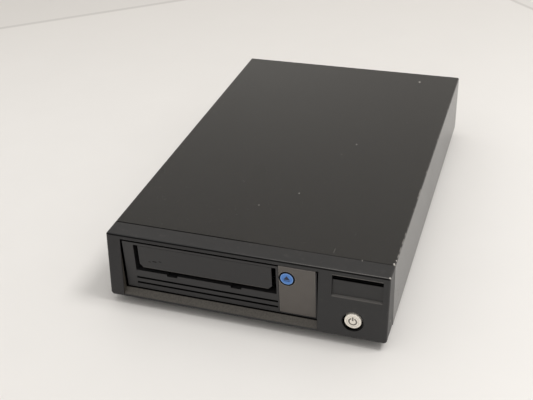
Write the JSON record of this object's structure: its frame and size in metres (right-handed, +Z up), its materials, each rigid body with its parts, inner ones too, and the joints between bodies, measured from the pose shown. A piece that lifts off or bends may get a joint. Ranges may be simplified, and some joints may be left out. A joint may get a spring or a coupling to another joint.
{
  "type": "data tape drive",
  "caption": "Half-height cartridge tape drive in a low black steel tabletop case, with a hinged slot door, eject and power buttons, rear fan and mains inlet.",
  "frame": {"origin": "on the surface the feet stand on, under the middle of the case", "axes": "+X to the right seen from the front, +Y from the front to the back, +Z up"},
  "size_m": [0.213, 0.3343, 0.0588],
  "materials": {
    "painted_steel": "satin black powder coat",
    "bezel_plastic": "fine-textured black moulding",
    "drive_plastic": "smooth dark moulding",
    "badge_plastic": "satin black plate",
    "panel_grey": "satin dark grey moulding",
    "button_white": "satin ivory",
    "button_blue": "satin blue",
    "rubber": "moulded",
    "zinc_steel": "zinc plated",
    "spring_steel": "rolled",
    "cast_aluminium": "die cast",
    "motor_steel": "pressed",
    "white_plastic": "moulded acetal",
    "head_ceramic": "lapped",
    "dark_plastic": "moulded",
    "board": "solder mask",
    "tinned_brass": "tinned",
    "ferrite": "sintered",
    "winding_tape": "taped winding",
    "capacitor_sleeve": "shrink sleeve"
  },
  "bodies": {
    "case": {"badge_plate": "badge_plastic", "base_tray": "painted_steel", "case_screws": "zinc_steel", "data_ports": "zinc_steel", "door_hinge_pin": "zinc_steel", "drive_bezel": "drive_plastic", "drive_bracket_left": "zinc_steel", "drive_bracket_right": "zinc_steel", "drive_chassis": "cast_aluminium", "drive_connector": "dark_plastic", "drive_lid": "zinc_steel", "drive_screws": "zinc_steel", "eject_switch": "dark_plastic", "fan_housing": "dark_plastic", "foot_screws": "zinc_steel", "front_bezel": "bezel_plastic", "front_board": "board", "head_base": "cast_aluminium", "inlet_pins": "tinned_brass", "logic_board": "board", "port_board": "board", "power_inlet": "dark_plastic", "power_spring": "spring_steel", "power_switch": "dark_plastic", "power_switch_board": "board", "rear_panel": "painted_steel", "roller_axles": "zinc_steel", "rubber_feet": "rubber", "status_panel": "panel_grey", "supply_board": "board", "supply_bracket": "cast_aluminium", "supply_capacitors": "capacitor_sleeve", "supply_choke": "winding_tape", "supply_heatsinks": "cast_aluminium", "supply_motor": "motor_steel", "supply_transformer": "ferrite", "supply_winding": "winding_tape", "takeup_motor": "motor_steel", "top_cover": "painted_steel"},
    "power_button": {"power_button": "button_white"},
    "eject_button": {"eject_button": "button_blue"},
    "door": {"cartridge_door": "drive_plastic"},
    "carrier": {"cartridge_carrier": "spring_steel"},
    "loader": {"loader_plate_left": "spring_steel", "loader_plate_right": "spring_steel", "loader_bridge": "spring_steel"},
    "supply_hub": {"supply_hub": "white_plastic"},
    "takeup_reel": {"takeup_reel": "white_plastic"},
    "head": {"head_carriage": "cast_aluminium", "tape_head": "head_ceramic"},
    "fan": {"fan_rotor": "dark_plastic"},
    "guide_roller_1": {"guide_roller_1": "zinc_steel"},
    "guide_roller_2": {"guide_roller_2": "zinc_steel"},
    "guide_roller_3": {"guide_roller_3": "zinc_steel"},
    "guide_roller_4": {"guide_roller_4": "zinc_steel"}
  },
  "joints": [
    {"name": "power_press", "type": "slide", "parent": "case", "child": "power_button", "axis": [0, 1, 0], "range_m": [0, 0.0012], "stiffness_N_per_m": 500, "springref_m": -0.001, "deforming": ["power_spring"]},
    {"name": "eject_press", "type": "slide", "parent": "case", "child": "eject_button", "axis": [0, 1, 0], "range_m": [0, 0.001], "stiffness_N_per_m": 500, "springref_m": -0.001},
    {"name": "door_swing", "type": "hinge", "parent": "case", "child": "door", "pos_m": [-0.02985, -0.15918, 0.0531], "axis": [1, 0, 0], "range_deg": [0, 90], "stiffness_Nm_per_rad": 0.002, "springref_deg": -20.05},
    {"name": "loader_slide", "type": "slide", "parent": "case", "child": "loader", "axis": [0, 1, 0], "range_m": [0, 0.012]},
    {"name": "carrier_drop", "type": "slide", "parent": "case", "child": "carrier", "axis": [0, 0, -1], "range_m": [0, 0.0036]},
    {"name": "supply_spin", "type": "hinge", "parent": "case", "child": "supply_hub", "pos_m": [-0.02985, -0.08418, 0.0229], "axis": [0, 0, 1], "continuous": true},
    {"name": "takeup_spin", "type": "hinge", "parent": "case", "child": "takeup_reel", "pos_m": [-0.0503, 0.00657, 0.0363], "axis": [0, 0, 1], "continuous": true},
    {"name": "head_lift", "type": "slide", "parent": "case", "child": "head", "axis": [0, 0, 1], "range_m": [-0.0015, 0.0015]},
    {"name": "fan_spin", "type": "hinge", "parent": "case", "child": "fan", "pos_m": [0.03, 0.1532, 0.0324], "axis": [0, 1, 0], "continuous": true},
    {"name": "roller_1_spin", "type": "hinge", "parent": "case", "child": "guide_roller_1", "pos_m": [0.01844, -0.02418, 0.0363], "axis": [0, 0, 1], "continuous": true},
    {"name": "roller_2_spin", "type": "hinge", "parent": "case", "child": "guide_roller_2", "pos_m": [0.03405, -0.0122, 0.0363], "axis": [0, 0, 1], "continuous": true},
    {"name": "roller_3_spin", "type": "hinge", "parent": "case", "child": "guide_roller_3", "pos_m": [0.03405, 0.02534, 0.0363], "axis": [0, 0, 1], "continuous": true},
    {"name": "roller_4_spin", "type": "hinge", "parent": "case", "child": "guide_roller_4", "pos_m": [0.01844, 0.03732, 0.0363], "axis": [0, 0, 1], "continuous": true}
  ],
  "couplings": [
    {"joint": "carrier_drop", "follows": "loader_slide", "ratio": 0.3}
  ]
}
